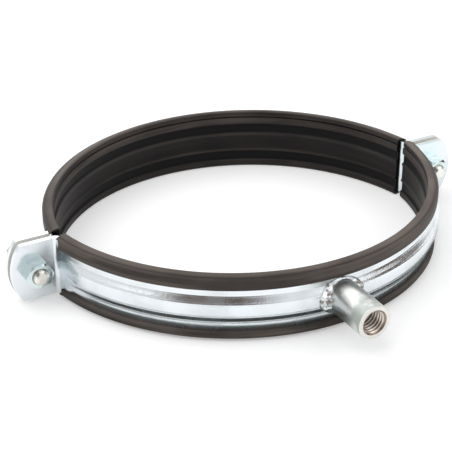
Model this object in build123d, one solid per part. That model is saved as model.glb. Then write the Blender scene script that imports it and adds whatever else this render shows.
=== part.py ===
from build123d import *
import os
from math import atan2, cos, hypot, radians, sin, sqrt, tan

# Two-piece pipe clamp with a rubber lining, in millimetres.
# The pipe axis is Z. The split plane between the halves is XZ, and the origin lies on it,
# midway across the strip. The front half (-Y) carries the threaded boss, pointing along -Y.
# The clamp is closed and its screws are not yet drawn up: each half is an arc of a little
# less than 180 degrees, so the arcs' centres are arc_offset beyond the split plane.

# Pipe and lining
pipe_diameter = 160.0
arc_offset = 10.65
groove_depth = 0.9
middle_depth = 0.5
web_thickness = 1.0
lip_thickness = 0.9
lip_width = 4.0
edge_cover = 1.5
edge_slope = 0.7
inner_bevel = 0.5
inner_rib_place = 4.3
inner_rib_foot = 1.7
edge_rib_setback = 2.8
edge_rib_slope = 0.9
long_end_setback = 4.3
short_end_setback = 0.8

# Steel strip, its pressed bead and its ears
strip_thickness = 2.0
strip_width = 24.0
bead_height = 1.8
bead_crest_width = 5.4
bead_flank = 2.7
bead_half_angle = 70.0
bead_runout = 5.5
bead_foot_cover = 0.01
bend_radius = 2.0
ear_gap = 2.4
ear_end_margin = 9.5
ear_bulge = 4.0
ear_corner_radius = 2.0
lip_to_bend_gap = 0.1

# Boss and its weld
boss_diameter = 13.5
boss_length = 20.4
thread_core_diameter = 8.5
boss_mouth_chamfer = 0.9
boss_rim_chamfer = 0.4
boss_seat_gap = 0.05
weld_toe = 3.45
weld_start = 2.6
weld_to_lip_gap = 0.2
weld_height = 2.6
weld_lip = 0.2

# Screws and nuts, M6
screw_diameter = 6.0
thread_clearance = 0.05
screw_length = 20.0
screw_tip_chamfer = 0.8
screw_from_root = 9.15
screw_standing_out = 1.8
hex_across_flats = 10.0
head_height = 4.0
nut_height = 5.2
hex_chamfer_angle = 30.0
hex_face_share = 0.95
nut_mouth_chamfer = 0.5
ear_hole_clearance = 0.3
seat_gap = 0.05
head_turn = 68.0
nut_turn = 90.0

# Worked out from the values above
tip_radius = pipe_diameter / 2
groove_radius = tip_radius + groove_depth
middle_radius = tip_radius + middle_depth
steel_inner = groove_radius + web_thickness
steel_outer = steel_inner + strip_thickness
lining_outer = steel_outer + lip_thickness
half_width = strip_width / 2
lining_half_width = half_width + edge_cover
crest_outer = steel_outer + bead_height
ear_face = ear_gap / 2 + strip_thickness
bead_foot = bead_crest_width / 2 + bead_flank
boss_root = crest_outer - arc_offset
boss_mouth = boss_root + boss_length
screw_radius = screw_diameter / 2
nut_back = ear_face + seat_gap
screw_tip = nut_back + nut_height + screw_standing_out
ear_root = sqrt(steel_outer**2 - (arc_offset + ear_face) ** 2)
screw_place = ear_root + screw_from_root
ear_reach = screw_place + ear_end_margin
weld_toe_along = boss_diameter / 2 + weld_toe
weld_toe_across = half_width - lip_width - weld_to_lip_gap
reach = 2 * ear_reach


def disc(radius, height):
    """Solid disc on the front half's own arc centre."""
    return Pos(0, arc_offset, 0) * Cylinder(radius, height)


def span_box(x_low, x_high, y_low, y_high, height):
    """Box between plan limits, centred on Z."""
    size_x = x_high - x_low
    size_y = y_high - y_low
    return Pos(x_low + size_x / 2, y_low + size_y / 2, 0) * Box(size_x, size_y, height)


def to_front_arc(section, half_angle):
    """Revolve a section (x = radius, y = Z) through the front half's arc, centred on -Y."""
    swept = revolve(Plane.XZ * section, axis=Axis.Z, revolution_arc=2 * half_angle)
    return Pos(0, arc_offset, 0) * Rot(0, 0, -90 - half_angle) * swept


def nearest_vertices(shape, points):
    """The vertex of the shape closest to each point."""
    return [min(shape.vertices(), key=lambda v: hypot(v.X - x, v.Y - y)) for x, y in points]


def both_sides(x, y):
    """A plan point and its mirror image."""
    return [(x, y), (-x, y)]


def strip_plan():
    """Plan of the bent strip: an arc that turns outward into an ear at each end."""
    ring = Pos(0, arc_offset) * (Circle(steel_outer) - Circle(steel_inner))
    front = Pos(0, -reach / 2 - ear_gap / 2) * Rectangle(2 * reach, reach)
    ears = Pos(0, -ear_gap / 2 - strip_thickness / 2) * Rectangle(2 * ear_reach, strip_thickness)
    ears -= Pos(0, arc_offset) * Circle(steel_inner)
    plan = (ring & front) + ears
    outside_x = sqrt(steel_inner**2 - (arc_offset + ear_gap / 2) ** 2)
    plan = fillet(nearest_vertices(plan, both_sides(ear_root, -ear_face)), bend_radius)
    outside_corners = nearest_vertices(plan, both_sides(outside_x, -ear_gap / 2))
    return fillet(outside_corners, bend_radius + strip_thickness)


def bead(land_radius, foot, crest):
    """Raised bead along the arc, from land_radius outward, running out towards the bends."""
    crest_radius = land_radius + bead_height
    base_radius = land_radius - bead_foot_cover
    section = Polyline(
        (base_radius, -foot), (land_radius, -foot), (crest_radius, -crest),
        (crest_radius, crest), (land_radius, foot), (base_radius, foot), close=True,
    )
    full_angle = bead_half_angle + bead_runout
    swept = to_front_arc(make_face(section), full_angle)
    start = -90 - bead_half_angle
    arc = CenterArc((0, 0), crest_radius, start, 2 * bead_half_angle)
    low = radians(-90 - full_angle)
    high = radians(-90 + full_angle)
    first = (base_radius * cos(low), base_radius * sin(low))
    last = (base_radius * cos(high), base_radius * sin(high))
    sides = Polyline(arc @ 1, last, (0, 0), first, arc @ 0)
    runout = Pos(0, arc_offset, 0) * extrude(make_face(arc + sides), foot + 1, both=True)
    return swept & runout


def ear_ends():
    """What is cut from the ears' ends to leave a bowed edge."""
    edge_radius = (half_width**2 + ear_bulge**2) / (2 * ear_bulge)
    centre = ear_reach - edge_radius
    block = span_box(centre, reach, -ear_face - 1, 0, strip_width + 2)
    bow = Pos(centre, 0, 0) * Rot(90, 0, 0) * Cylinder(edge_radius, reach)
    cut = block - bow
    return cut + mirror(cut, about=Plane.YZ)


def band():
    """One pressed steel half band."""
    shell = extrude(strip_plan(), half_width, both=True)
    shell -= ear_ends()
    corners = [e for e in shell.edges().filter_by(Axis.Y) if abs(e.center().X) > screw_place]
    shell = fillet(corners, ear_corner_radius)
    flank_shift = strip_thickness * tan(atan2(bead_height, bead_flank) / 2)
    outer = bead(steel_outer, bead_foot, bead_crest_width / 2)
    inner = bead(steel_inner, bead_foot - flank_shift, bead_crest_width / 2 - flank_shift)
    shell = shell + outer - inner
    hole = Rot(90, 0, 0) * Cylinder(screw_radius + ear_hole_clearance, 4 * ear_face)
    return shell - Pos(screw_place, 0, 0) * hole - Pos(-screw_place, 0, 0) * hole


def lining_section():
    """Rubber channel: grip ribs inside, walls over the strip's edges and lips behind them."""
    slope_top = lining_half_width - edge_slope
    edge_rib_place = lining_half_width - edge_rib_setback
    upper = [
        (middle_radius, inner_rib_place - inner_rib_foot / 2),
        (tip_radius, inner_rib_place),
        (groove_radius, inner_rib_place + inner_rib_foot / 2),
        (groove_radius, edge_rib_place - edge_rib_slope),
        (tip_radius, edge_rib_place),
        (tip_radius + inner_bevel, lining_half_width),
        (lining_outer, slope_top),
        (lining_outer, half_width - lip_width),
        (steel_outer, half_width - lip_width),
        (steel_outer, half_width),
        (steel_inner, half_width),
    ]
    lower = [(radius, -z) for radius, z in reversed(upper)]
    return make_face(Polyline(*upper, *lower, close=True))


def lining():
    """Rubber lining of the front half, pushed a little towards +X along its band."""
    height = 2 * lining_half_width + 2
    swept = to_front_arc(lining_section(), 90)
    swept -= span_box(0, reach, -short_end_setback, reach, height)
    swept -= span_box(-reach, 0, -long_end_setback, reach, height)
    lip_end = ear_face + bend_radius + lip_to_bend_gap
    bend_room = span_box(-reach, reach, -lip_end, reach, strip_width)
    return swept - (bend_room - disc(steel_inner, strip_width))


def boss():
    """Round boss with a tapped bore, coped to sit on the bead."""
    body_length = boss_mouth - steel_outer + arc_offset + bead_height
    body = Cylinder(boss_diameter / 2, body_length, align=(Align.CENTER, Align.CENTER, Align.MIN))
    body = chamfer(body.edges().group_by(Axis.Z)[0], boss_rim_chamfer)
    bore = Cylinder(thread_core_diameter / 2, 2 * body_length)
    mouth_radius = thread_core_diameter / 2 + boss_mouth_chamfer
    mouth = Cone(mouth_radius, thread_core_diameter / 2, boss_mouth_chamfer,
                 align=(Align.CENTER, Align.CENTER, Align.MIN))
    body = Pos(0, -boss_mouth, 0) * Rot(-90, 0, 0) * (body - bore - mouth)
    return body - disc(crest_outer + boss_seat_gap, strip_width)


def weld(front_band):
    """Weld at the left and right of the boss's foot, drawn out along the band and its bead."""
    drop = bead_height + strip_thickness
    at_middle = (Align.CENTER, Align.CENTER, Align.MIN)
    cone = Cone(weld_toe_along, boss_diameter / 2 + weld_lip, weld_height, align=at_middle)
    foot = Pos(0, 0, -drop) * Cylinder(weld_toe_along, drop, align=at_middle)
    bead_run = Box(2 * weld_toe_along, 2 * weld_toe_across, 2 * (drop + weld_height))
    core = Cylinder(boss_diameter / 2, boss_length)
    core += Box(2 * weld_start, 4 * weld_toe_across, boss_length)
    placed = Pos(0, -boss_root, 0) * Rot(90, 0, 0) * (((cone + foot) & bead_run) - core)
    return placed - disc(steel_outer, strip_width) - front_band


def hexagon_prism(height, turn):
    """Hexagon along Z with turned-off corners on its top."""
    corner = hex_across_flats / sqrt(3)
    face = hex_across_flats / 2 * hex_face_share
    drop = (corner - face) * tan(radians(hex_chamfer_angle))
    outline = Polyline(
        (0, 0), (corner, 0), (corner, height - drop), (face, height), (0, height), close=True
    )
    turned = revolve(Plane.XZ * make_face(outline), axis=Axis.Z)
    flats = RegularPolygon(hex_across_flats / 2, 6, major_radius=False, rotation=30 - turn)
    return extrude(flats, height) & turned


def screw(side):
    """Hexagon head screw, head behind the rear ear, tip through the nut."""
    shank = Cylinder(screw_radius - thread_clearance, screw_length,
                     align=(Align.CENTER, Align.CENTER, Align.MIN))
    shank = chamfer(shank.edges().group_by(Axis.Z)[0], screw_tip_chamfer)
    head = Pos(0, 0, screw_length) * hexagon_prism(head_height, head_turn)
    return Pos(side * screw_place, -screw_tip, 0) * Rot(-90, 0, 0) * (shank + head)


def nut(side):
    """Hexagon nut against the front ear, its turned-off face outward."""
    body = hexagon_prism(nut_height, nut_turn) - Cylinder(screw_radius, 4 * nut_height)
    rims = body.edges().filter_by(GeomType.CIRCLE)
    rims = [e for e in rims if abs(e.radius - screw_radius) < thread_clearance]
    mouth = [e for e in rims if e.center().Z > nut_height / 2]
    body = chamfer(mouth, nut_mouth_chamfer)
    return Pos(side * screw_place, -nut_back, 0) * Rot(90, 0, 0) * body


def write(name, shape):
    """Write one sub-part as a STEP file."""
    shape.label = name
    export_step(shape, os.path.join("parts", name + ".step"))


os.makedirs("parts", exist_ok=True)
half_turn = Rot(0, 0, 180)
front_band = band()
front_lining = lining()
write("front_band", front_band)
write("rear_band", half_turn * front_band)
write("front_lining", front_lining)
write("rear_lining", half_turn * front_lining)
write("threaded_boss", boss())
write("boss_weld", weld(front_band))
for side_name, side in (("left", -1), ("right", 1)):
    write(side_name + "_screw", screw(side))
    write(side_name + "_nut", nut(side))
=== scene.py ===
"""Looks of a two-piece pipe clamp with a rubber lining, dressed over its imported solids.

The clamp lies flat: +Z is the pipe's axis, -Y points out of the threaded boss and +X runs
towards the right ears. Lengths are metres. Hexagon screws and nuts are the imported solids
with finishes on them. The pressed strips are smoothly shaded copies of theirs. The rubber
channels, the turned boss, its weld and the screws' threads are built here, each on the
solid that it dresses.
"""

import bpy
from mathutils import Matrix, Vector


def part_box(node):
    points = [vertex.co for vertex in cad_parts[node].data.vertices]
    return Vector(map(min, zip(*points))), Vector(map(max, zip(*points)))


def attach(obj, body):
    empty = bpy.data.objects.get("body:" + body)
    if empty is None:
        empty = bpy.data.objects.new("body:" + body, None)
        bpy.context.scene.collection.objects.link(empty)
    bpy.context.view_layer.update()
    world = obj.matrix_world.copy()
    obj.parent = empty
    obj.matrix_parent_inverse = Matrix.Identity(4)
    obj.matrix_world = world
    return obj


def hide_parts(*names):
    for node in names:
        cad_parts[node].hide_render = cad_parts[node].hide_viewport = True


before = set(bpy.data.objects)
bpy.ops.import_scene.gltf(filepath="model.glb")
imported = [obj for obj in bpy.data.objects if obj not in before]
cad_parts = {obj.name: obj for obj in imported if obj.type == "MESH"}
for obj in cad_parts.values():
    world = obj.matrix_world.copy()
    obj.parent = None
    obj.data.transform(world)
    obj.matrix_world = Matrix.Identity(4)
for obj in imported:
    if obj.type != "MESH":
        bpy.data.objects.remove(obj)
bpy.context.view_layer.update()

import logging
import math
from dataclasses import dataclass, field
from enum import Enum
from typing import Any, Callable, Optional, Union

import bmesh
import bpy
from mathutils import Matrix, Quaternion, Vector, noise

LOG = logging.getLogger("pipe_clamp")
MM = 0.001
LOOSE = 0.002 * MM
ARC_CENTRE = 10.65  # millimetres from the split plane to the centre of a half's arcs
WHITE = (1.0, 1.0, 1.0, 1.0)

Colour = tuple[float, float, float, float]
Span = tuple[float, float]


def rgb(red: float, green: float, blue: float) -> Colour:
    """Give a linear colour with full alpha."""
    return (red, green, blue, 1.0)


class Side(Enum):
    """The two pairs of ears, as the nodes' names spell them."""

    LEFT = "left"
    RIGHT = "right"


# ---------------------------------------------------------------- shader graphs


class Wire:
    """A shader socket that takes part in Python arithmetic."""

    def __init__(self, graph: "Graph", socket: bpy.types.NodeSocket) -> None:
        """Keep the socket and the graph that owns it."""
        self.graph = graph
        self.socket = socket

    def _maths(self, operation: str, *values: Any) -> "Wire":
        """Add one Math node over the given values.

        Args:
            operation: What the node works out.
            values: Wires or numbers, in order.

        Returns:
            Its result.
        """
        settings = {"operation": operation}
        inputs = dict(enumerate(values))
        return self.graph.node("ShaderNodeMath", settings, inputs).out("Value")

    def __add__(self, other: Any) -> "Wire":
        """Sum."""
        return self._maths("ADD", self, other)

    def __sub__(self, other: Any) -> "Wire":
        """Difference."""
        return self._maths("SUBTRACT", self, other)

    def __rsub__(self, other: Any) -> "Wire":
        """Difference from a plain number."""
        return self._maths("SUBTRACT", other, self)

    def __mul__(self, other: Any) -> "Wire":
        """Product."""
        return self._maths("MULTIPLY", self, other)

    __radd__ = __add__
    __rmul__ = __mul__

    def larger(self, other: Any) -> "Wire":
        """The larger of two values."""
        return self._maths("MAXIMUM", self, other)

    def size(self) -> "Wire":
        """The value without its sign."""
        return self._maths("ABSOLUTE", self)

    def reach(self, other: "Wire") -> "Wire":
        """Length of the diagonal over two values."""
        return self._maths("SQRT", self * self + other * other)

    def ridge(self, middle: float, half: float) -> "Wire":
        """Soft ridge: 1 where the value is middle, 0 from half away."""
        return (self - middle).size().ramp(0.0, half, 1.0, 0.0)

    def ramp(self, low: float, high: float, start: float = 0.0, end: float = 1.0) -> "Wire":
        """Map low..high smoothly to start..end.

        Args:
            low: Value that gives start.
            high: Value that gives end.
            start: Result at and below low.
            end: Result at and above high.

        Returns:
            The mapped value.
        """
        settings = {"interpolation_type": "SMOOTHSTEP"}
        inputs = {"Value": self, "From Min": low, "From Max": high, "To Min": start, "To Max": end}
        return self.graph.node("ShaderNodeMapRange", settings, inputs).out("Result")


class Added:
    """A node that a graph has added, with its outputs at hand."""

    def __init__(self, graph: "Graph", node: bpy.types.Node) -> None:
        """Keep the node and the graph that owns it."""
        self.graph = graph
        self.node = node

    def out(self, name: Union[str, int] = 0) -> Wire:
        """Output socket by name or place."""
        return Wire(self.graph, self.node.outputs[name])


class Graph:
    """Builds the node tree of a material or of the world."""

    def __init__(self, tree: bpy.types.NodeTree) -> None:
        """Start from an empty tree."""
        self.tree = tree
        self.tree.nodes.clear()

    def node(self, kind: str, settings: Optional[dict[str, Any]] = None,
             inputs: Optional[dict[Union[str, int], Any]] = None) -> Added:
        """Add one node.

        Args:
            kind: Type of the node.
            settings: Attributes, set first.
            inputs: Values or wires for its input sockets.

        Returns:
            The node, wrapped.
        """
        made = self.tree.nodes.new(kind)
        for name, value in (settings or {}).items():
            setattr(made, name, value)
        for key, value in (inputs or {}).items():
            if isinstance(value, Wire):
                self.tree.links.new(value.socket, made.inputs[key])
            else:
                made.inputs[key].default_value = value
        return Added(self, made)

    def mix(self, share: Any, first: Any, second: Any) -> Wire:
        """Mix two colours.

        Args:
            share: How much of the second is used.
            first: Colour or wire.
            second: Colour or wire.

        Returns:
            The mixed colour.
        """
        inputs = {0: share, 6: first, 7: second}
        return self.node("ShaderNodeMix", {"data_type": "RGBA"}, inputs).out(2)

    def along(self, direction: Vector, vector: Wire) -> Wire:
        """Length of a vector along a unit direction."""
        inputs = {0: vector, 1: tuple(direction)}
        return self.node("ShaderNodeVectorMath", {"operation": "DOT_PRODUCT"}, inputs).out("Value")

    def place(self, stretch: tuple[float, float, float] = (1.0, 1.0, 1.0)) -> Wire:
        """Object coordinates, stretched.

        Args:
            stretch: Factor along each axis.

        Returns:
            The coordinates as one vector.
        """
        coordinates = self.node("ShaderNodeTexCoord").out("Object")
        inputs = {"Vector": coordinates, "Scale": stretch}
        return self.node("ShaderNodeMapping", None, inputs).out("Vector")

    def axes(self) -> tuple[Wire, Wire, Wire]:
        """Object coordinates one by one, in millimetres.

        Returns:
            X, Y and Z.
        """
        scaled = self.place((1000.0, 1000.0, 1000.0))
        split = self.node("ShaderNodeSeparateXYZ", None, {0: scaled})
        return split.out("X"), split.out("Y"), split.out("Z")

    def cloud(self, scale: float, detail: float = 3.0, vector: Optional[Wire] = None) -> Wire:
        """Soft noise, 0 to 1, whose scale counts features per metre."""
        inputs = {"Vector": vector or self.place(), "Scale": scale, "Detail": detail}
        return self.node("ShaderNodeTexNoise", {"noise_dimensions": "3D"}, inputs).out("Fac")

    def bump(self, height: Wire, depth: float, strength: float = 1.0) -> Wire:
        """Normal bent by a height of 0 to 1, depth metres deep."""
        inputs = {"Height": height, "Distance": depth, "Strength": strength}
        return self.node("ShaderNodeBump", None, inputs).out("Normal")


# ---------------------------------------------------------------- finishes


@dataclass(frozen=True)
class Finish:
    """What every finish of the clamp has: a name and one principled surface."""

    name: str

    def build(self) -> bpy.types.Material:
        """Make the material.

        Returns:
            The material, ready for a piece.
        """
        material = bpy.data.materials.new(self.name)
        material.use_nodes = True
        graph = Graph(material.node_tree)
        surface = graph.node("ShaderNodeBsdfPrincipled", None, self.surface(graph))
        graph.node("ShaderNodeOutputMaterial", None, {"Surface": surface.out("BSDF")})
        return material

    def surface(self, graph: Graph) -> dict[str, Any]:
        """Values and wires of the principled surface.

        Args:
            graph: Tree that takes the nodes.

        Returns:
            Socket names with their values.
        """
        raise NotImplementedError


@dataclass(frozen=True)
class BrightZinc(Finish):
    """Electroplated zinc: bluish white metal, faintly clouded, with fine grain.

    Attributes:
        light: Colour of the clear plating.
        dull: Colour where the plating is clouded.
        tint: Passivation tint in patches.
        smooth: Lowest roughness.
        rough: Highest roughness.
        patch: Clouds per metre.
        grain: Grains per metre.
        grain_depth: Height of the grain.
        clouded: Span of the noise over which the plating turns dull.
        tinted: Span of the noise over which the tint sets in.
    """

    light: Colour = rgb(0.79, 0.83, 0.86)
    dull: Colour = rgb(0.71, 0.75, 0.77)
    tint: Colour = rgb(0.64, 0.79, 0.78)
    smooth: float = 0.17
    rough: float = 0.30
    patch: float = 55.0
    grain: float = 2300.0
    grain_depth: float = 0.05 * MM
    clouded: Span = (0.40, 0.66)
    tinted: Span = (0.52, 0.72)

    def surface(self, graph: Graph) -> dict[str, Any]:
        """Clouded plating with grain.

        Args:
            graph: Tree that takes the nodes.

        Returns:
            Socket names with their values.
        """
        cloud = graph.cloud(self.patch, 4.0).ramp(*self.clouded)
        tinted = graph.cloud(self.patch * 0.35, 2.0).ramp(*self.tinted, 0.0, 0.5)
        plating = graph.mix(cloud, self.light, self.dull)
        grain = graph.cloud(self.grain, 2.0)
        swell = graph.cloud(self.patch * 3.0, 2.0)
        height = (grain + swell * 2.0) * (self.grain_depth / MM)
        return {
            "Base Color": graph.mix(tinted, plating, self.tint),
            "Metallic": 1.0,
            "Roughness": cloud * (self.rough - self.smooth) + self.smooth,
            "Normal": graph.bump(self.relief(graph, height), MM),
        }

    def relief(self, graph: Graph, grain: Wire) -> Wire:
        """Height of the surface in millimetres, from the grain's height."""
        return grain


@dataclass(frozen=True)
class StripZinc(BrightZinc):
    """Zinc on the rolled strip, whose bead has soft bends and whose lands lean outwards.

    Attributes:
        crest_edge: Distance of the bead's upper bends from the middle, in millimetres.
        foot_edge: Distance of its lower bends.
        softness: How far a bend reaches to each side.
        crest_drop: How much an upper bend is rounded off.
        foot_fill: How much a lower bend is filled.
        crown: How much the crest is crowned.
        lean: How far a land would drop by the strip's edge.
        ear: Distance of the flat ends at the ears from the split plane.
        seam: Distance of the ears' inner faces from the split plane.
        chalk: Pale matt colour painted on the ears' inner faces, as painted light that lightens
            the shaded gap between the ears.
    """

    crest_edge: float = 2.7
    foot_edge: float = 5.4
    softness: float = 1.0
    crest_drop: float = 0.13
    foot_fill: float = 0.08
    crown: float = 0.16
    lean: float = 1.3
    ear: float = 8.0
    seam: float = 1.2
    chalk: Colour = rgb(0.80, 0.80, 0.77)

    def surface(self, graph: Graph) -> dict[str, Any]:
        """Plating, with a pale matt colour painted between the ears as painted light.

        Args:
            graph: Tree that takes the nodes.

        Returns:
            Socket names with their values.
        """
        sockets = super().surface(graph)
        _, y, _ = graph.axes()
        # Painted light: in the gap, the ears' inner faces get a pale matt colour instead of metal,
        # so the shaded gap reads lighter.
        bright = y.size().ramp(self.seam + 0.03, self.seam + 0.15)
        sockets["Base Color"] = graph.mix(bright, self.chalk, sockets["Base Color"])
        sockets["Metallic"] = bright
        return sockets

    def relief(self, graph: Graph, grain: Wire) -> Wire:
        """Grain on top of the soft bends.

        Args:
            graph: Tree that takes the nodes.
            grain: Height of the grain.

        Returns:
            Height of the strip's skin over its plain mesh.
        """
        _, y, z = graph.axes()
        away = z.size()
        band = y.size().ramp(self.ear, self.ear + 5.0)
        bends = away.ridge(self.foot_edge, self.softness * 0.8) * self.foot_fill
        bends = bends - away.ridge(self.crest_edge, self.softness) * self.crest_drop
        bends = bends - away.ramp(0.0, self.crest_edge * 1.6) * self.crown
        bends = bends - away.ramp(self.foot_edge + 1.2, 12.0) * self.lean
        return bends * band + grain * band.ramp(0.0, 1.0, 0.3, 1.0)


@dataclass(frozen=True)
class ScrewZinc(BrightZinc):
    """Zinc on a screw, whose head is painted darker than its rolled end, as painted shade.

    Attributes:
        shaded_head: Colour of the head, darker as painted shade.
        neck: Y under the head, in millimetres.
    """

    shaded_head: Colour = rgb(0.58, 0.58, 0.52)
    neck: float = 9.0

    def surface(self, graph: Graph) -> dict[str, Any]:
        """Plating painted darker on the head, as painted shade.

        Args:
            graph: Tree that takes the nodes.

        Returns:
            Socket names with their values.
        """
        sockets = super().surface(graph)
        _, y, _ = graph.axes()
        # Painted shade: the head is darker than the rolled end.
        head = y.ramp(self.neck, self.neck + 0.5)
        sockets["Base Color"] = graph.mix(head, sockets["Base Color"], self.shaded_head)
        return sockets


@dataclass(frozen=True)
class BossZinc(BrightZinc):
    """Zinc on the turned boss: fine tool rings outside, bare crests and brown roots inside.

    Attributes:
        thread_crest: Colour of the thread's crests.
        thread_root: Colour of its roots.
        minor: Radius of the crests, in millimetres.
        mouth: Radius of the bore's mouth.
        face: Y of the mouth's faced end.
        faced: Colour of the faced end.
        rings: Tool rings per metre.
    """

    thread_crest: Colour = rgb(0.86, 0.80, 0.74)
    thread_root: Colour = rgb(0.34, 0.27, 0.22)
    minor: float = 4.25
    mouth: float = 5.10
    face: float = -95.45
    faced: Colour = rgb(0.74, 0.73, 0.69)
    rings: float = 2400.0

    def surface(self, graph: Graph) -> dict[str, Any]:
        """Plating that changes inside the bore.

        Args:
            graph: Tree that takes the nodes.

        Returns:
            Socket names with their values.
        """
        sockets = super().surface(graph)
        x, y, z = graph.axes()
        radius = x.reach(z)
        inside = radius.ramp(self.mouth - 0.1, self.mouth + 0.05, 1.0, 0.0)
        end = y.ramp(self.face + 0.1, self.face + 0.5, 1.0, 0.0)
        root = radius.ramp(self.minor + 0.15, self.minor + 0.45)
        thread = graph.mix(root, self.thread_crest, self.thread_root)
        outside = graph.mix(end, sockets["Base Color"], self.faced)
        sockets["Base Color"] = graph.mix(inside, outside, thread)
        return sockets

    def relief(self, graph: Graph, grain: Wire) -> Wire:
        """Grain on top of the tool rings. See BrightZinc.relief."""
        rings = graph.cloud(1.0, 1.0, graph.place((40.0, self.rings, 40.0)))
        return grain + rings * 0.02


@dataclass(frozen=True)
class WeldZinc(BrightZinc):
    """Zinc over a weld, with spots of brown scale.

    Attributes:
        scale_colour: Colour of the scale.
    """

    scale_colour: Colour = rgb(0.24, 0.19, 0.16)

    def surface(self, graph: Graph) -> dict[str, Any]:
        """Plating darkened by spots of scale.

        Args:
            graph: Tree that takes the nodes.

        Returns:
            Socket names with their values.
        """
        sockets = super().surface(graph)
        spots = graph.cloud(560.0, 2.0).ramp(0.48, 0.60)
        sockets["Base Color"] = graph.mix(spots * 0.85, sockets["Base Color"], self.scale_colour)
        sockets["Roughness"] = spots * 0.20 + self.smooth
        return sockets


@dataclass(frozen=True)
class ExtrudedRubber(Finish):
    """Black rubber as it leaves the die: brown and rubbed outside, with painted sheen on its rib
    tips, black in its grooves.

    Attributes:
        dark: Colour of clean rubber.
        bloom_and_sheen: Colour of the rubbed, dusty edges, and of the painted sheen on the rib
            tips.
        edge: Distance of the rubbed edges from the middle, in millimetres.
        tip: Radius of the rib tips, which carry painted sheen.
        lip: Radius from which the lips are rubbed.
        upper: Height over which the painted sheen on the tips grows stronger.
        rubbed: Strength of the painted sheen on the lower and the upper tips.
        offset: Distance of the arcs' centres from the split plane.
        patched: Span of the noise over which a patch of bloom sets in.
        streaks: Streaks per metre along each axis.
        streaked: Span of the noise over which a streak sets in.
        line: Draw lines per metre across the strip.
        line_depth: Depth of the draw lines.
        specks: Specks per metre.
        polish: Roughness of the clean rubber.
        chalk: Roughness that a full share of bloom and sheen adds.
        shine: Specular level of the clean rubber, which is low.
    """

    dark: Colour = rgb(0.0060, 0.0056, 0.0064)
    bloom_and_sheen: Colour = rgb(0.185, 0.156, 0.138)
    edge: float = 12.4
    tip: float = 80.05
    lip: float = 84.0
    upper: Span = (6.0, 7.5)
    rubbed: Span = (0.29, 0.48)
    offset: float = ARC_CENTRE
    patched: Span = (0.35, 0.70)
    streaks: tuple[float, float, float] = (24.0, 24.0, 420.0)
    streaked: Span = (0.40, 0.66)
    line: float = 1300.0
    line_depth: float = 0.03 * MM
    specks: float = 900.0
    polish: float = 0.40
    chalk: float = 0.18
    shine: float = 0.11

    def surface(self, graph: Graph) -> dict[str, Any]:
        """Draw lines at fixed heights and radii, with soft bloom and painted sheen on the rib
        tips.

        Args:
            graph: Tree that takes the nodes.

        Returns:
            Socket names with their values.
        """
        x, y, z = graph.axes()
        radius = x.reach(y.size() + self.offset)
        wear_and_sheen = z.size().ramp(self.edge, self.edge + 0.9, 0.0, 1.0)
        # Painted sheen: the rib tips are lighter, more so on the upper ones; the bloom on the
        # edges and lips is dust and wear.
        tips = radius.ramp(self.tip, self.tip + 0.8, 1.0, 0.0)
        wear_and_sheen = wear_and_sheen.larger(tips * z.ramp(*self.upper, *self.rubbed))
        wear_and_sheen = wear_and_sheen.larger(radius.ramp(self.lip - 0.5, self.lip, 0.0, 0.72))
        patch = graph.cloud(38.0, 4.0).ramp(*self.patched)
        streak = graph.cloud(1.0, 2.0, graph.place(self.streaks)).ramp(*self.streaked)
        bloom_and_sheen = (patch * 0.30 + streak * 0.35 + 0.35) * wear_and_sheen
        speck = graph.cloud(self.specks, 2.0)
        lines = graph.cloud(1.0, 2.0, graph.place((8.0, 8.0, self.line)))
        return {
            "Base Color": graph.mix(bloom_and_sheen, self.dark, self.bloom_and_sheen),
            "Roughness": bloom_and_sheen * self.chalk + self.polish,
            "Specular IOR Level": self.shine,
            "Normal": graph.bump(lines + speck * 0.6, self.line_depth, 0.8),
        }


@dataclass(frozen=True)
class StudioFloor:
    """Pale table top that stays white around the clamp and keeps its shadow.

    Attributes:
        name: Name of the material.
        tone: Its matt tone.
        lift: Glow that keeps it white where it is looked at or mirrored.
        shade: Colour of the painted shade on the floor close under the clamp, seen only in the
            metal's mirror image of it.
        ring: Outer radius of the clamp's arcs, in millimetres.
        offset: Distance of their centres from the split plane.
        inside: Span from the ring outwards over which the shade starts.
        outside: Span over which it ends.
        ears: Span from the split plane over which it sets in.
    """

    name: str = "pale_table"
    tone: float = 0.80
    lift: float = 0.34
    shade: Colour = rgb(0.070, 0.088, 0.085)
    ring: float = 85.0
    offset: float = ARC_CENTRE
    inside: Span = (-5.0, -1.0)
    outside: Span = (3.0, 9.5)
    ears: Span = (9.0, 20.0)

    def build(self) -> bpy.types.Material:
        """Make the material: matt white, lifted for what looks straight at it or mirrors it.

        Returns:
            The material, ready for the table top.
        """
        material = bpy.data.materials.new(self.name)
        material.use_nodes = True
        graph = Graph(material.node_tree)
        rays = graph.node("ShaderNodeLightPath")
        seen = rays.out("Is Camera Ray").larger(rays.out("Is Glossy Ray"))
        seen = seen.larger(rays.out("Is Transmission Ray"))
        x, y, _ = graph.axes()
        # Painted shade: close under the clamp, the floor is darkened only for rays that the metal
        # mirrors.
        away = x.reach(y.size() + self.offset) - self.ring
        mirrored_shade = away.ramp(*self.inside) * away.ramp(*self.outside, 1.0, 0.0)
        mirrored_shade = mirrored_shade * y.size().ramp(*self.ears)
        mirrored_shade = mirrored_shade * rays.out("Is Glossy Ray")
        tone = graph.mix(mirrored_shade, rgb(*(self.tone,) * 3), self.shade)
        light = graph.mix(mirrored_shade, WHITE, self.shade)
        matt = graph.node("ShaderNodeBsdfDiffuse", None, {"Color": tone})
        lifted = {"Color": light, "Strength": seen * self.lift}
        glow = graph.node("ShaderNodeEmission", None, lifted)
        both = graph.node("ShaderNodeAddShader", None, {0: matt.out(), 1: glow.out()})
        graph.node("ShaderNodeOutputMaterial", None, {"Surface": both.out()})
        return material


# ---------------------------------------------------------------- meshes


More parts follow.
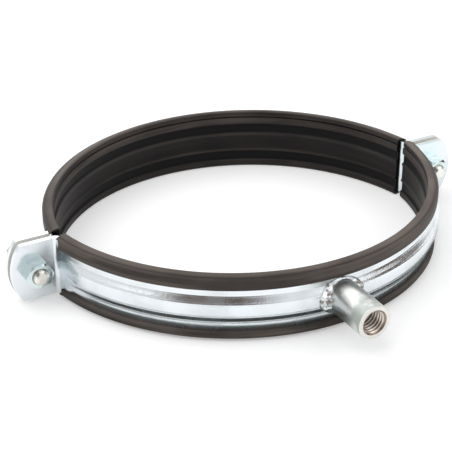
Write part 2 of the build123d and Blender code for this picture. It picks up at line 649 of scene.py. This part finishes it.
def paint(piece: bpy.types.Object, material: bpy.types.Material) -> None:
    """Put one material in every slot of a piece.

    Args:
        piece: Piece to dress.
        material: What it is dressed in.
    """
    slots = piece.data.materials
    if not slots:
        slots.append(material)
    for number in range(len(slots)):
        slots[number] = material


def make_piece(name: str, mesh: bpy.types.Mesh) -> bpy.types.Object:
    """Link a mesh to the scene as a piece at the origin.

    Args:
        name: Name of the piece.
        mesh: Its mesh, already in place.

    Returns:
        The piece.
    """
    piece = bpy.data.objects.new(name, mesh)
    bpy.context.scene.collection.objects.link(piece)
    return piece


def shade_by_angle(mesh: bpy.types.Mesh, degrees: float) -> None:
    """Smooth a piece's faces, with edges over an angle kept sharp.

    Args:
        mesh: Mesh to mark.
        degrees: Angle between faces that counts as an edge.
    """
    work = bmesh.new()
    work.from_mesh(mesh)
    for face in work.faces:
        face.smooth = True
    for edge in work.edges:
        edge.smooth = edge.calc_face_angle(math.pi) < math.radians(degrees)
    work.to_mesh(mesh)
    work.free()


def to_mesh(work: bmesh.types.BMesh, name: str) -> bpy.types.Mesh:
    """Turn a finished bmesh into a named mesh, and free it.

    Args:
        work: Mesh in the making.
        name: Name of the finished one.

    Returns:
        The finished mesh.
    """
    mesh = bpy.data.meshes.new(name)
    work.to_mesh(mesh)
    work.free()
    return mesh


def bridge(work: bmesh.types.BMesh, rings: list[list[bmesh.types.BMVert]], loop: bool) -> None:
    """Join neighbouring rings with faces.

    Args:
        work: Mesh that holds the rings.
        rings: Closed rings with the same number of corners.
        loop: Whether the last ring joins the first.
    """
    following = rings[1:] + (rings[:1] if loop else [])
    for first, second in zip(rings, following):
        for corner in range(len(first)):
            after = (corner + 1) % len(first)
            work.faces.new((first[corner], first[after], second[after], second[corner]))


def merged_copy(node: str) -> bmesh.types.BMesh:
    """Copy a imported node's mesh, with its loose corners merged.

    Args:
        node: Name of the node.

    Returns:
        The copy, which the caller frees.
    """
    work = bmesh.new()
    work.from_mesh(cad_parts[node].data)
    bmesh.ops.remove_doubles(work, verts=work.verts, dist=LOOSE)
    return work


# ---------------------------------------------------------------- screw threads


@dataclass
class ThreadTree:
    """Geometry Nodes tree of one helical ridge along +Z.

    Attributes:
        name: Name of the tree.
        material: Material that the ridge takes.
        steps: Segments a turn.
    """

    name: str
    material: bpy.types.Material
    steps: int = 40
    tree: bpy.types.NodeTree = field(init=False)

    def __post_init__(self) -> None:
        """Build the tree."""
        self.tree = bpy.data.node_groups.new(self.name, "GeometryNodeTree")
        face = self.tree.interface
        face.new_socket("Geometry", in_out="OUTPUT", socket_type="NodeSocketGeometry")
        for name in ("Radius", "Pitch", "Turns", "Depth"):
            face.new_socket(name, in_out="INPUT", socket_type="NodeSocketFloat")
        given = self._add("NodeGroupInput")
        height = self._add("ShaderNodeMath", operation="MULTIPLY")
        spiral = self._add("GeometryNodeCurveSpiral")
        spiral.inputs["Resolution"].default_value = self.steps
        upright = self._add("GeometryNodeSetCurveNormal", mode="Z_UP")
        ridge = self._add("GeometryNodeCurvePrimitiveCircle", mode="RADIUS")
        ridge.inputs["Resolution"].default_value = 4
        swept = self._add("GeometryNodeCurveToMesh")
        swept.inputs["Fill Caps"].default_value = True
        real = self._add("GeometryNodeRealizeInstances")
        dressed = self._add("GeometryNodeSetMaterial")
        dressed.inputs["Material"].default_value = self.material
        made = self._add("NodeGroupOutput")
        for start, output, end, entry in (
                (given, "Pitch", height, 0), (given, "Turns", height, 1),
                (given, "Turns", spiral, "Rotations"), (given, "Radius", spiral, "Start Radius"),
                (given, "Radius", spiral, "End Radius"), (height, 0, spiral, "Height"),
                (spiral, "Curve", upright, "Curve"), (given, "Depth", ridge, "Radius"),
                (upright, "Curve", swept, "Curve"), (ridge, "Curve", swept, "Profile Curve"),
                (swept, "Mesh", real, "Geometry"), (real, "Geometry", dressed, "Geometry"),
                (dressed, "Geometry", made, "Geometry")):
            self.tree.links.new(start.outputs[output], end.inputs[entry])

    def _add(self, kind: str, **settings: Any) -> bpy.types.Node:
        """Add a node with its settings.

        Args:
            kind: Type of the node.
            settings: Its attributes.

        Returns:
            The node.
        """
        made = self.tree.nodes.new(kind)
        for name, value in settings.items():
            setattr(made, name, value)
        return made

    def mesh(self, name: str, sizes: dict[str, float], place: Matrix) -> bpy.types.Mesh:
        """Turn the tree's result into a plain mesh.

        Args:
            name: Name of the mesh.
            sizes: Value of each named input.
            place: Where the helix stands in the clamp's frame.

        Returns:
            The mesh, in place.
        """
        carrier = make_piece(name + "_carrier", bpy.data.meshes.new(name + "_seed"))
        modifier = carrier.modifiers.new("thread", "NODES")
        modifier.node_group = self.tree
        for socket in self.tree.interface.items_tree:
            if socket.in_out == "INPUT":
                modifier[socket.identifier] = sizes[socket.name]
        graph = bpy.context.evaluated_depsgraph_get()
        mesh = bpy.data.meshes.new_from_object(carrier.evaluated_get(graph), depsgraph=graph)
        bpy.data.objects.remove(carrier)
        mesh.name = name
        mesh.transform(place)
        return mesh


# ---------------------------------------------------------------- sub-assemblies


class SubAssembly:
    """What every sub-assembly of the clamp does."""

    def build(self) -> list[bpy.types.Object]:
        """Make and dress the sub-assembly.

        Returns:
            Its pieces.
        """
        raise NotImplementedError


@dataclass
class Fasteners(SubAssembly):
    """The two hexagon screws and nuts, with rolled threads on the screws' bare ends.

    Attributes:
        zinc: Finish of the nuts.
        warm_zinc: Finish of the screws.
        major: Radius over the thread.
        pitch: Thread's lead.
        ridge: Half height of a thread ridge.
        chamfer: Length of the screw's turned tip.
    """

    zinc: bpy.types.Material
    warm_zinc: bpy.types.Material
    major: float = 3.0 * MM
    pitch: float = 1.0 * MM
    ridge: float = 0.30 * MM
    chamfer: float = 0.8 * MM

    def build(self) -> list[bpy.types.Object]:
        """Dress the solids and add both threads.

        Returns:
            The screws, the nuts and the threads.
        """
        tree = ThreadTree("rolled_thread", self.warm_zinc)
        pieces = []
        for side in Side:
            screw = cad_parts[side.value + "_screw"]
            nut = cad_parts[side.value + "_nut"]
            paint(screw, self.warm_zinc)
            paint(nut, self.zinc)
            pieces += [screw, nut, self._thread(tree, side)]
        return pieces

    def _thread(self, tree: ThreadTree, side: Side) -> bpy.types.Object:
        """Wind a thread round one screw, from its tip's chamfer to behind its nut.

        Args:
            tree: Tree that winds it.
            side: Pair of ears that the screw closes.

        Returns:
            The thread.
        """
        low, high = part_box(side.value + "_screw")
        nut_low, nut_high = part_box(side.value + "_nut")
        centre = (nut_low + nut_high) / 2
        radius = self.major - self.ridge
        length = nut_high.y - low.y - self.chamfer
        turn = Quaternion((1.0, 0.0, 0.0), math.radians(-90)).to_matrix().to_4x4()
        place = Matrix.Translation((centre.x, low.y + self.chamfer * 0.7, centre.z)) @ turn
        sizes = {"Radius": radius, "Pitch": self.pitch, "Turns": length / self.pitch,
                 "Depth": self.ridge}
        mesh = tree.mesh(side.value + "_screw_thread", sizes, place)
        shade_by_angle(mesh, 30)
        piece = make_piece(side.value + "_screw_thread", mesh)
        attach(piece, side.value + "_screw")
        return piece


@dataclass(frozen=True)
class StripShape:
    """The front half's pressed strip, which the boss and its weld stand on.

    Attributes:
        centre: Y of the half's arc centre.
        inner: Radius inside the strip.
        land: Radius of the flat lands.
        crest: Radius of the bead's crest.
        crest_edge: Half width of the crest.
        foot_edge: Half width of the bead at its foot.
        half_width: Half width of the strip.
    """

    centre: float = ARC_CENTRE * MM
    inner: float = 81.9 * MM
    land: float = 83.9 * MM
    crest: float = 85.7 * MM
    crest_edge: float = 2.7 * MM
    foot_edge: float = 5.4 * MM
    half_width: float = 12.0 * MM

    def front(self, x: float, z: float) -> float:
        """Y of the strip's outside at a place in front view.

        Args:
            x: Place across the clamp.
            z: Place across the strip.

        Returns:
            Y there.
        """
        share = (abs(z) - self.crest_edge) / (self.foot_edge - self.crest_edge)
        share = min(1.0, max(0.0, share))
        radius = self.crest + (self.land - self.crest) * share
        return self.centre - math.sqrt(radius**2 - x**2)


@dataclass
class Boss(SubAssembly):
    """Turned boss with a real thread in its bore, coped onto the bead.

    Attributes:
        zinc: Finish.
        strip: Strip that it stands on.
        seat: Gap that it keeps from the strip.
        minor: Radius of the thread's crests.
        major: Radius of the thread's roots.
        pitch: Thread's lead.
        flank: Steepness of the thread's flanks.
        flat: Share of the pitch that its roots are flat over.
        rim: Turned-off edge outside the mouth.
        mouth: Turned-off edge inside the mouth.
        steps: Segments round the boss.
        per_turn: Rings in one thread pitch.
    """

    zinc: bpy.types.Material
    strip: StripShape = StripShape()
    seat: float = 0.05 * MM
    minor: float = 4.25 * MM
    major: float = 5.0 * MM
    pitch: float = 1.5 * MM
    flank: float = 2.7
    flat: float = 0.15
    rim: float = 0.4 * MM
    mouth: float = 0.8 * MM
    steps: int = 72
    per_turn: int = 10

    def build(self) -> list[bpy.types.Object]:
        """Make the boss in place of its plain solid.

        Returns:
            The boss.
        """
        low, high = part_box("threaded_boss")
        outer = (high.x - low.x) / 2
        mesh = self._lathe(outer, self._root(0.0) - low.y, low.y)
        shade_by_angle(mesh, 28)
        piece = make_piece("tapped_boss", mesh)
        paint(piece, self.zinc)
        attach(piece, "front_half")
        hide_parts("threaded_boss")
        return [piece]

    def _profile(self, outer: float, depth: float) -> list[tuple[float, float]]:
        """Radius and distance from the mouth along the wall, outside first.

        Args:
            outer: Radius of the boss.
            depth: Distance from the mouth to the root at the axis.

        Returns:
            Profile from the root, over the rim and into the bore.
        """
        rim = self.rim
        points = [(outer, depth), (outer, depth * 0.5), (outer, rim)]
        points += [(outer - rim * 0.3, rim * 0.3), (outer - rim, 0.0)]
        points += [(self.minor + self.mouth, 0.0)]
        return points

    def _thread_radius(self, turns: float) -> float:
        """Radius of a 60 degree internal thread.

        Args:
            turns: Turns along it.

        Returns:
            Radius of its wall there.
        """
        phase = turns % 1.0
        slope = min(1.0, max(0.0, abs(phase - 0.5) * self.flank - self.flat))
        return self.major + (self.minor - self.major) * slope

    def _root(self, x: float) -> float:
        """Y of the boss's foot at a given X."""
        return self.strip.centre - math.sqrt((self.strip.crest + self.seat) ** 2 - x**2)

    def _lathe(self, outer: float, depth: float, front: float) -> bpy.types.Mesh:
        """Turn the profile and wind the thread down the bore.

        Args:
            outer: Radius of the boss.
            depth: Distance from the mouth to the root at the axis.
            front: Y of the mouth.

        Returns:
            The closed mesh.
        """
        work = bmesh.new()
        rings = [self._ring(work, lambda angle, r=r: r, y, front)
                 for r, y in self._profile(outer, depth)]
        count = int(depth / self.pitch * self.per_turn)
        for number in range(1, count + 1):
            along = number * self.pitch / self.per_turn

            def radius(angle: float, along: float = along) -> float:
                """Radius at an angle round this ring: the thread, or the mouth's cone."""
                thread = self._thread_radius(along / self.pitch - angle / math.tau)
                return max(thread, self.minor + self.mouth - along)

            rings.append(self._ring(work, radius, along, front))
        for ring in (rings[0], rings[-1]):
            for vertex in ring:
                vertex.co.y = self._root(vertex.co.x)
        bridge(work, rings, loop=True)
        bmesh.ops.recalc_face_normals(work, faces=work.faces)
        return to_mesh(work, "tapped_boss")

    def _ring(self, work: bmesh.types.BMesh, radius: Callable[[float], float],
              along: float, front: float) -> list[bmesh.types.BMVert]:
        """One ring of the boss.

        Args:
            work: Mesh that takes the ring.
            radius: Radius at each angle round the boss.
            along: Distance of the ring from the mouth.
            front: Y of the mouth.

        Returns:
            Vertices of the ring.
        """
        ring = []
        for step in range(self.steps):
            angle = math.tau * step / self.steps
            reach = radius(angle)
            spot = (reach * math.cos(angle), front + along, reach * math.sin(angle))
            ring.append(work.verts.new(spot))
        return ring


@dataclass
class Weld(SubAssembly):
    """One bead of weld round the boss's foot: heavy and lumpy at the sides, thin above and below.

    Attributes:
        zinc: Finish of the bead.
        strip: Surface that it lies on.
        boss: Radius of the boss.
        heavy: Reach of the bead along the strip, left of the boss.
        light: Reach right of the boss.
        thin: Reach above and below it.
        rise: Height of the bead on the boss, as a share of its reach.
        lump: Depth of the lumps, as a share of the reach.
        lump_scale: Lumps per metre.
        finer: How much finer the small lumps are.
        small: Their share of a lump.
        wander: How much its reach wanders round the boss, as a share.
        waves: How often it wanders.
        hollow: Power that hollows the bead's slope.
        belly: How much the slope swells towards its toe.
        bite: How far it starts inside the boss.
        under: Corners under its skin, as share of the reach and depth.
        steps: Segments round the boss.
        rows: Segments across the bead.
    """

    zinc: bpy.types.Material
    strip: StripShape = StripShape()
    boss: float = 6.75 * MM
    heavy: float = 3.4 * MM
    light: float = 2.6 * MM
    thin: float = 0.9 * MM
    rise: float = 0.85
    lump: float = 0.24
    lump_scale: float = 620.0
    finer: float = 2.4
    small: float = 0.3
    wander: float = 0.22
    waves: float = 2.6
    hollow: float = 0.75
    belly: float = 0.55
    bite: float = 0.05 * MM
    under: tuple[tuple[float, float], ...] = ((1.0, 0.8 * MM), (0.5, 1.2 * MM), (-0.2, 1.2 * MM))
    steps: int = 220
    rows: int = 20

    def build(self) -> list[bpy.types.Object]:
        """Lay the bead in place of its plain solids.

        Returns:
            The bead.
        """
        work = bmesh.new()
        columns = [self._column(work, math.tau * step / self.steps) for step in range(self.steps)]
        bridge(work, columns, loop=True)
        bmesh.ops.recalc_face_normals(work, faces=work.faces)
        mesh = to_mesh(work, "boss_weld_bead")
        shade_by_angle(mesh, 50)
        piece = make_piece("boss_weld_bead", mesh)
        paint(piece, self.zinc)
        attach(piece, "front_half")
        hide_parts("boss_weld")
        return [piece]

    def _reach(self, angle: float) -> float:
        """Reach of the bead along the strip.

        Args:
            angle: Place round the boss, 0 at the right.

        Returns:
            Its reach there, before it wanders.
        """
        side = self.heavy if math.cos(angle) < 0 else self.light
        share = abs(math.cos(angle)) ** 3
        return self.thin + (side - self.thin) * share

    def _column(self, work: bmesh.types.BMesh, angle: float) -> list[bmesh.types.BMVert]:
        """One slice across the bead, from the boss to the strip and back under both.

        Args:
            work: Mesh that takes the slice.
            angle: Place round the boss, 0 at the right.

        Returns:
            Vertices of the slice.
        """
        reach = self._reach(angle)
        wave = noise.noise(Vector((math.cos(angle), math.sin(angle), 7.0)) * self.waves)
        reach *= 1.0 + self.wander * wave
        across = Vector((math.cos(angle), 0.0, math.sin(angle)))
        column = []
        for row in range(self.rows + 1):
            share = row / self.rows
            out = self.boss - self.bite + reach * share
            x, z = out * across.x, out * across.z
            height = reach * self.rise * (1.0 - share) ** self.hollow * (1.0 + self.belly * share)
            spot = Vector((x, self.strip.front(x, z) - height, z))
            spot += self._lump(spot, reach, share)
            column.append(work.verts.new(spot))
        for share, depth in self.under:
            out = self.boss + reach * share
            x, z = out * across.x, out * across.z
            column.append(work.verts.new((x, self.strip.front(x, z) + depth, z)))
        return column

    def _lump(self, spot: Vector, reach: float, share: float) -> Vector:
        """Shift of one point of the bead's skin.

        Args:
            spot: The point.
            reach: Reach of the bead there.
            share: How far out it lies, 0 at the boss and 1 at the toe.

        Returns:
            Its shift.
        """
        coarse = noise.noise(spot * self.lump_scale)
        fine = noise.noise(spot * self.lump_scale * self.finer)
        size = reach * self.lump * math.sin(math.pi * min(1.0, share + 0.12)) ** 0.6
        away = Vector((spot.x, 0.0, spot.z)).normalized() * 0.5 + Vector((0.0, -0.8, 0.0))
        return away * size * (coarse + self.small * fine)


@dataclass(frozen=True)
class LiningCut:
    """Where one lining is cut off.

    Attributes:
        half: Half that it lines.
        sign: -1 where the half lies in front of the split plane, 1 behind it.
        left: Distance of its left end from the split plane, into its own half.
        right: The same of its right end.
    """

    half: str
    sign: int
    left: float
    right: float


@dataclass
class Lining:
    """Extruded rubber channel of one half, with soft corners and pointed grip ribs.

    Attributes:
        rubber: Finish.
        cut: Where its ends are.
        strip: Strip that it is hooked over.
        tip: Radius of the ribs' tips.
        groove: Radius of the grooves' floors.
        middle: Radius of the land between the inner ribs.
        back: Radius behind the lips.
        half_width: Half width of the channel.
        lip: Width of the upper lip, from the strip's edge.
        lip_below: Width of the lower lip, under which more of the strip shows.
        inner_rib: Distance of an inner rib from the ribs' middle.
        outer_rib: Distance of an outer rib from the ribs' middle.
        drop: How far the ribs' middle sits under the strip's.
        foot: Half width of an inner rib at its foot.
        blunt: Half width of an inner rib at its tip.
        band: Half width of an outer rib.
        brow: Depth and width of the notch between an outer rib and the rounded edge.
        lip_end: How far the lips stop short of the split plane.
        stub: Width of the lips past their ends.
        step: Angle between rings, in degrees.
        hair: Angle either side of the lips' ends, in radians.
    """

    rubber: bpy.types.Material
    cut: LiningCut
    strip: StripShape = StripShape()
    tip: float = 80.0 * MM
    groove: float = 80.9 * MM
    middle: float = 80.5 * MM
    back: float = 84.8 * MM
    half_width: float = 13.5 * MM
    lip: float = 4.0 * MM
    lip_below: float = 2.7 * MM
    inner_rib: float = 3.9 * MM
    outer_rib: float = 10.3 * MM
    drop: float = 1.4 * MM
    foot: float = 1.0 * MM
    blunt: float = 0.3 * MM
    band: float = 1.3 * MM
    brow: float = 0.75 * MM
    lip_end: float = 5.3 * MM
    stub: float = 0.3 * MM
    step: float = 1.0
    hair: float = 1e-5

    def build(self) -> bpy.types.Object:
        """Sweep the channel in place of its plain solid.

        Returns:
            The channel.
        """
        work = bmesh.new()
        rings = [self._ring(work, *stop) for stop in self._stops()]
        bridge(work, rings, loop=False)
        for ring in (rings[0], rings[-1]):
            work.faces.new(ring)
        bmesh.ops.recalc_face_normals(work, faces=work.faces)
        mesh = to_mesh(work, self.cut.half + "_channel")
        shade_by_angle(mesh, 36)
        piece = make_piece(self.cut.half + "_channel", mesh)
        paint(piece, self.rubber)
        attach(piece, self.cut.half + "_half")
        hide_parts(self.cut.half + "_lining")
        return piece

    def _section(self, share: float) -> list[tuple[float, float]]:
        """Outline of the channel.

        Args:
            share: Share of the lips' width that it has.

        Returns:
            Corners as (radius, height).
        """
        upper = self._half(max(self.lip * share, self.stub), -self.drop)
        lower = self._half(max(self.lip_below * share, self.stub), self.drop)
        return upper + [(radius, -height) for radius, height in reversed(lower[1:])]

    def _half(self, lip: float, shift: float) -> list[tuple[float, float]]:
        """Half of the outline, from the middle of the inside round to the strip.

        Args:
            lip: Width of its lip.
            shift: Shift of its ribs away from the middle.

        Returns:
            Corners as (radius, distance from the middle).
        """
        tip, back, side = self.tip, self.back, self.half_width
        edge = self.strip.half_width
        end = edge - lip
        inner, outer = self.inner_rib + shift, self.outer_rib + shift
        low, high = outer - self.band, min(outer + self.band, side - self.brow)
        ribs = [
            (self.middle, 0.0), (self.middle, inner - self.foot),
            (tip + 0.12 * MM, inner - self.blunt), (tip + 0.12 * MM, inner + self.blunt),
            (self.groove, inner + self.foot), (self.groove, low - 0.6 * MM),
            (tip + 0.1 * MM, low), (tip + 0.02 * MM, high),
        ]
        if high + 1.2 * MM < side:
            ribs += [(tip + self.brow, high + 0.4 * MM), (tip + 0.3 * MM, high + 0.95 * MM)]
        rounded_edge = [
            (tip + 0.42 * MM, side - 0.45 * MM), (tip + 0.90 * MM, side),
            (tip + 2.2 * MM, side - 0.15 * MM), (back - 1.1 * MM, side - 0.75 * MM),
            (back - 0.35 * MM, side - 1.20 * MM),
        ]
        folded_lip = [
            (back - 0.03 * MM, max(side - 1.75 * MM, end + 0.5 * MM)),
            (back, end + max(lip * 0.55, 0.35 * MM)), (back - 0.06 * MM, end + 0.25 * MM),
            (back - 0.3 * MM, end), (self.strip.land, end),
            (self.strip.land, edge), (self.strip.inner, edge),
        ]
        return ribs + rounded_edge + folded_lip

    def _stops(self) -> list[tuple[float, float, bool]]:
        """Rings along the arc, from its left end to its right one.

        Returns:
            Angle, share of the lips, and whether the ring is a cut end.
        """
        radius = (self.tip + self.back) / 2
        offset = self.strip.centre
        ends = [math.acos((offset + reach) / radius) for reach in (self.cut.left, self.cut.right)]
        lips = math.acos((offset + self.lip_end) / radius)
        low, high = -ends[0], ends[1]
        count = int(math.degrees(high - low) / self.step)
        plain = [low + (high - low) * number / count for number in range(1, count)]
        stops = [(low, self._lip_at(low, lips), True)]
        stops += [(angle, self._lip_at(angle, lips), False) for angle in plain]
        for limit in (-lips, lips):
            if low < limit < high:
                for angle in (limit - self.hair, limit + self.hair):
                    stops.append((angle, self._lip_at(angle, lips), False))
        stops.append((high, self._lip_at(high, lips), True))
        return sorted(stops)

    def _lip_at(self, angle: float, lips: float) -> float:
        """Share of the lips' width at an angle: none past the ears' bends."""
        return 1.0 if abs(angle) < lips else 0.0

    def _ring(self, work: bmesh.types.BMesh, angle: float, lip: float,
              cut: bool) -> list[bmesh.types.BMVert]:
        """One ring of the channel.

        Args:
            work: Mesh that takes the ring.
            angle: Place along the arc, 0 at its middle, positive to the right.
            lip: Share of the lips' width.
            cut: Whether the ring is cut parallel to the split plane.

        Returns:
            Vertices of the ring.
        """
        offset = self.strip.centre
        middle = (self.tip + self.back) / 2
        level = offset - middle * math.cos(angle)
        ring = []
        for radius, height in self._section(lip):
            x, y = radius * math.sin(angle), offset - radius * math.cos(angle)
            if cut:
                x, y = math.copysign(math.sqrt(radius**2 - (offset - level) ** 2), angle), level
            ring.append(work.verts.new((x, -self.cut.sign * y, height)))
        return ring


@dataclass
class Bands(SubAssembly):
    """The two pressed strips with their rubber linings.

    Attributes:
        zinc: Finish of the strip.
        rubber: Finish of the lining.
        cuts: Ends of the two linings, pushed a little along their strips.
    """

    zinc: bpy.types.Material
    rubber: bpy.types.Material
    cuts: tuple[LiningCut, ...] = (
        LiningCut("front", -1, 4.3 * MM, -1.1 * MM),
        LiningCut("rear", 1, 0.8 * MM, 4.3 * MM),
    )

    def build(self) -> list[bpy.types.Object]:
        """Dress both strips and line them.

        Returns:
            The strips and their channels.
        """
        pieces = []
        for cut in self.cuts:
            pieces += [self._strip(cut.half), Lining(self.rubber, cut).build()]
        return pieces

    def _strip(self, half: str) -> bpy.types.Object:
        """Stand a smoothly shaded strip in place of a packed one.

        Args:
            half: Half that the strip clamps with.

        Returns:
            The strip.
        """
        mesh = to_mesh(merged_copy(half + "_band"), half + "_strip")
        shade_by_angle(mesh, 18)
        piece = make_piece(half + "_strip", mesh)
        paint(piece, self.zinc)
        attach(piece, half + "_half")
        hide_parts(half + "_band")
        return piece


# ---------------------------------------------------------------- studio


@dataclass(frozen=True)
class Opening:
    """Dark opening in the room's white walls, which only the metal mirrors.

    Attributes:
        azimuth: Compass place, from -Y towards +X, in degrees.
        height: Height above the horizon, in degrees.
        inner: Half its width, in degrees.
        edge: Width of its soft edge, in degrees.
    """

    azimuth: float
    height: float
    inner: float
    edge: float

    def mask(self, graph: Graph, heading: Wire) -> Wire:
        """Tell where the opening is.

        Args:
            graph: Tree that takes the nodes.
            heading: Heading of a ray.

        Returns:
            1 where the heading meets the opening, 0 elsewhere.
        """
        turn, rise = math.radians(self.azimuth), math.radians(self.height)
        towards = Vector((math.sin(turn) * math.cos(rise), -math.cos(turn) * math.cos(rise),
                          math.sin(rise)))
        outer = math.cos(math.radians(self.inner + self.edge / 2))
        full = math.cos(math.radians(self.inner - self.edge / 2))
        return graph.along(towards, heading).ramp(outer, full)


@dataclass(frozen=True)
class Panel:
    """Square soft light that faces the clamp.

    Attributes:
        name: Name of the light.
        place: Its centre.
        side: Length of its side.
        power: Its power in watts.
    """

    name: str
    place: tuple[float, float, float]
    side: float
    power: float

    def hang(self) -> None:
        """Add the light to the scene."""
        data = bpy.data.lights.new(self.name, "AREA")
        data.size = self.side
        data.energy = self.power
        light = bpy.data.objects.new(self.name, data)
        light.location = self.place
        light.rotation_mode = "QUATERNION"
        light.rotation_quaternion = (-Vector(self.place)).to_track_quat("-Z", "Y")
        bpy.context.scene.collection.objects.link(light)


@dataclass
class Studio:
    """Table, soft lights and camera.

    Attributes:
        table: Height of the table top, on which the lining stands.
        lens: Focal length for a 36 mm sensor.
        eye: Place of the camera.
        turn: Compass heading of its view, from +Y towards +X, in degrees.
        dip: How far it looks below the horizon, in degrees.
        reach: Half the table top's side.
        panels: Soft lights.
        openings: Dark openings in the walls.
        dark: Colour in an opening.
        level: Strength of the walls' light.
        mirrored: What a mirrored wall adds to it.
        seen: What a wall that the camera sees adds to it.
    """

    table: float = -13.5 * MM
    lens: float = 110.42
    eye: tuple[float, float, float] = (-247.03 * MM, -434.32 * MM, 266.34 * MM)
    turn: float = 28.84
    dip: float = 28.63
    reach: float = 6.0
    panels: tuple[Panel, ...] = (
        Panel("key_panel", (-0.55, 0.15, 1.05), 1.3, 6.0),
        Panel("side_panel", (0.75, -0.65, 0.75), 0.9, 2.6),
        Panel("back_panel", (0.15, 1.0, 0.75), 1.25, 4.6),
    )
    openings: tuple[Opening, Opening] = (
        Opening(-38.0, 34.0, 23.0, 16.0), Opening(64.0, 14.0, 24.0, 12.0))
    dark: Colour = rgb(0.13, 0.10, 0.09)
    level: float = 0.60
    mirrored: float = 0.30
    seen: float = 0.40

    def build(self) -> None:
        """Set the table, the lights and the camera."""
        self._camera()
        self._floor()
        self._world()
        for panel in self.panels:
            panel.hang()
        bpy.context.scene.view_settings.view_transform = "Standard"

    def _camera(self) -> None:
        """Place the camera."""
        data = bpy.data.cameras.new("camera")
        data.lens = self.lens
        data.sensor_width = 36.0
        data.clip_start = 0.01
        camera = bpy.data.objects.new("camera", data)
        camera.location = self.eye
        heading, dip = math.radians(self.turn), math.radians(self.dip)
        flat = math.cos(dip)
        look = Vector((math.sin(heading) * flat, math.cos(heading) * flat, -math.sin(dip)))
        camera.rotation_mode = "QUATERNION"
        camera.rotation_quaternion = look.to_track_quat("-Z", "Y")
        bpy.context.scene.collection.objects.link(camera)
        bpy.context.scene.camera = camera

    def _floor(self) -> None:
        """Lay the table top."""
        mesh = bpy.data.meshes.new("table_top")
        corners = [(x * self.reach, y * self.reach, self.table)
                   for x, y in ((-1, -1), (1, -1), (1, 1), (-1, 1))]
        mesh.from_pydata(corners, [], [(0, 1, 2, 3)])
        floor = make_piece("table_top", mesh)
        paint(floor, StudioFloor().build())

    def _world(self) -> None:
        """Light the room: white walls, with two dark openings that the metal mirrors."""
        world = bpy.data.worlds.new("studio")
        bpy.context.scene.world = world
        world.use_nodes = True
        graph = Graph(world.node_tree)
        heading = graph.node("ShaderNodeTexCoord").out("Generated")
        first, second = (opening.mask(graph, heading) for opening in self.openings)
        rays = graph.node("ShaderNodeLightPath")
        glossy = rays.out("Is Glossy Ray")
        room = graph.mix(first.larger(second) * glossy, WHITE, self.dark)
        strength = glossy * self.mirrored + rays.out("Is Camera Ray") * self.seen + self.level
        inputs = {"Color": room, "Strength": strength}
        surface = graph.node("ShaderNodeBackground", None, inputs)
        graph.node("ShaderNodeOutputWorld", None, {"Surface": surface.out()})


# ---------------------------------------------------------------- making


def main() -> None:
    """Dress the clamp, report its pieces and set the studio."""
    logging.basicConfig(level=logging.INFO, format="%(name)s: %(message)s")
    zinc = StripZinc("strip_zinc").build()
    fastener_zinc = BrightZinc("fastener_zinc", light=rgb(0.68, 0.77, 0.77),
                               dull=rgb(0.56, 0.66, 0.67), smooth=0.10, rough=0.18,
                               patch=140.0, grain_depth=0.03 * MM).build()
    # The screws' light colour is painted light: it brightens the rolled ends, which mirror the
    # shaded floor under the clamp.
    screw_zinc = ScrewZinc("screw_zinc", light=rgb(0.84, 0.82, 0.77), dull=rgb(0.74, 0.72, 0.67),
                           tint=rgb(0.78, 0.80, 0.74), smooth=0.24, rough=0.36, patch=200.0,
                           grain_depth=0.03 * MM).build()
    boss_zinc = BossZinc("boss_zinc", light=rgb(0.66, 0.68, 0.66), dull=rgb(0.40, 0.43, 0.41),
                         smooth=0.30, rough=0.46, patch=150.0, grain_depth=0.03 * MM).build()
    weld_zinc = WeldZinc("weld_zinc", smooth=0.34).build()
    rubber = ExtrudedRubber("extruded_rubber").build()
    for sub_assembly in (Bands(zinc, rubber), Fasteners(fastener_zinc, screw_zinc),
                         Boss(boss_zinc), Weld(weld_zinc)):
        for piece in sub_assembly.build():
            dress = piece.data.materials[0].name
            LOG.info("%s: %d faces in %s", piece.name, len(piece.data.polygons), dress)
    Studio().build()


if __name__ == "__main__":
    main()
